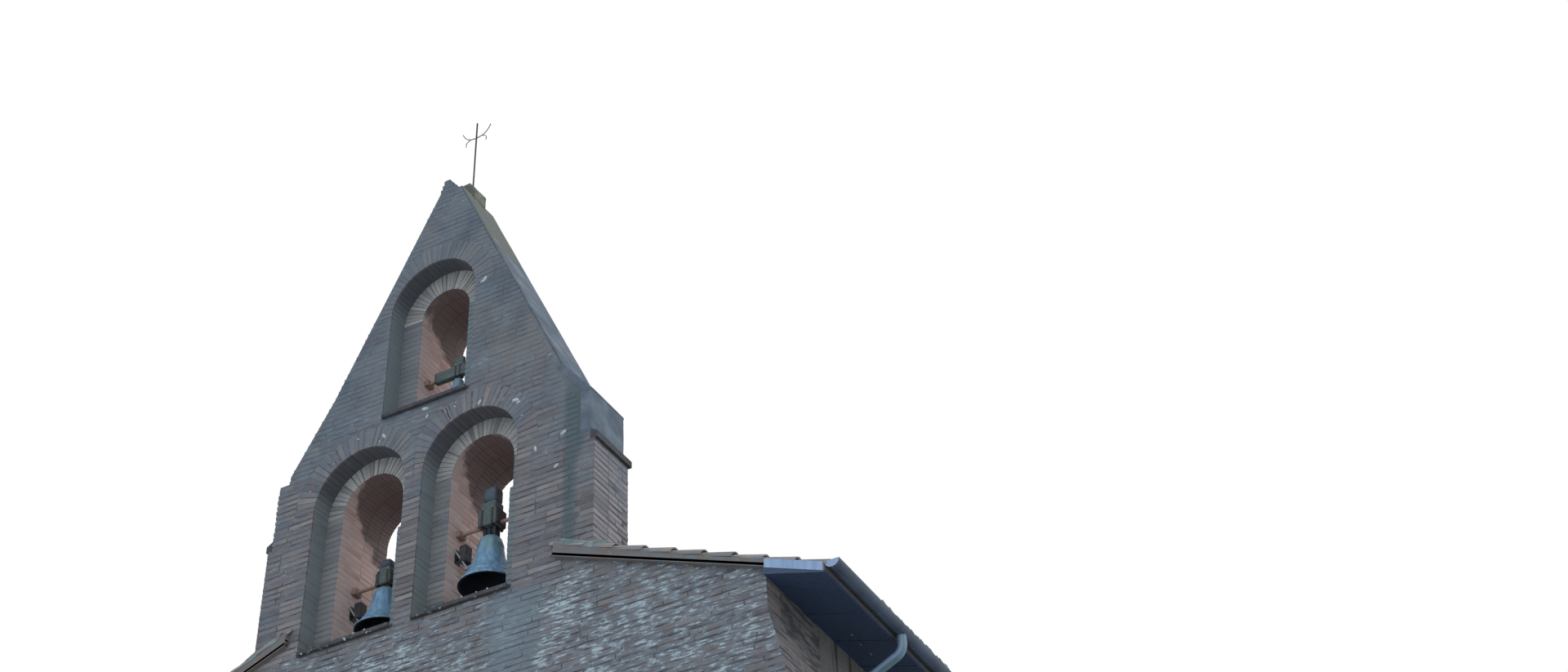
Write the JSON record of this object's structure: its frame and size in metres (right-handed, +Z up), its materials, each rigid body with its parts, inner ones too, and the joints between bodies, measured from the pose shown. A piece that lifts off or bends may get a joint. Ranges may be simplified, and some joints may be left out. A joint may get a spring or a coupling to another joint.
{
  "type": "church",
  "caption": "Small brick village church with a low tiled nave and a front wall raised into a triangular bell gable whose round-arched openings hold swinging bells.",
  "frame": {"origin": "on the ground, at the centre of the building's bounding box", "axes": "+Z up, -Y towards the front wall's face with the bell gable, +X to the right seen from the front"},
  "size_m": [9.99, 16.128, 19.18],
  "materials": {
    "bell_bronze": "patinated",
    "brick": "rough, weathered",
    "canal_tile": "rough",
    "floor_stone": "honed",
    "mortar": "rough",
    "mossy_stone": "rough",
    "painted_oak": "weathered",
    "soffit_board": "weathered paint",
    "thin_tile": "rough",
    "window_glass": "clear",
    "wrought_iron": "weathered",
    "zinc": "dull"
  },
  "bodies": {
    "church": {"back_wall": "brick", "bearings": "wrought_iron", "bell_landing": "mortar", "buttresses": "brick", "cap_stone": "mossy_stone", "cross": "wrought_iron", "door_leaves": "painted_oak", "door_step": "floor_stone", "doorway_arch": "brick", "eaves_end_plates": "zinc", "front_wall": "brick", "front_wall_left": "brick", "front_wall_right": "brick", "gable_peak": "brick", "gutters_and_downpipes": "zinc", "hammers": "wrought_iron", "left_pier": "brick", "left_roof": "canal_tile", "left_wall": "brick", "left_windows": "window_glass", "lower_arches": "brick", "lower_sills": "thin_tile", "middle_pier": "brick", "nave_floor": "floor_stone", "ridge_tiles": "canal_tile", "right_pier": "brick", "right_roof": "canal_tile", "right_wall": "brick", "right_windows": "window_glass", "shoulder_copings": "thin_tile", "soffits": "soffit_board", "upper_arch": "brick", "upper_left_pier": "brick", "upper_right_pier": "brick", "upper_sill": "thin_tile", "verges": "canal_tile"},
    "left_bell_set": {"left_bell": "bell_bronze", "left_headstock": "painted_oak", "left_axle": "wrought_iron"},
    "right_bell_set": {"right_bell": "bell_bronze", "right_headstock": "painted_oak", "right_axle": "wrought_iron"},
    "upper_bell_set": {"upper_bell": "bell_bronze", "upper_headstock": "painted_oak", "upper_axle": "wrought_iron"}
  },
  "joints": [
    {"name": "left_bell_swing", "type": "hinge", "parent": "church", "child": "left_bell_set", "pos_m": [-0.935, -7.4, 12.655], "axis": [1, 0, 0], "range_deg": [-60, 60]},
    {"name": "right_bell_swing", "type": "hinge", "parent": "church", "child": "right_bell_set", "pos_m": [0.575, -7.53, 12.845], "axis": [1, 0, 0], "range_deg": [-60, 60]},
    {"name": "upper_bell_swing", "type": "hinge", "parent": "church", "child": "upper_bell_set", "pos_m": [0, -7.55, 15.176], "axis": [1, 0, 0], "range_deg": [-60, 60]}
  ]
}
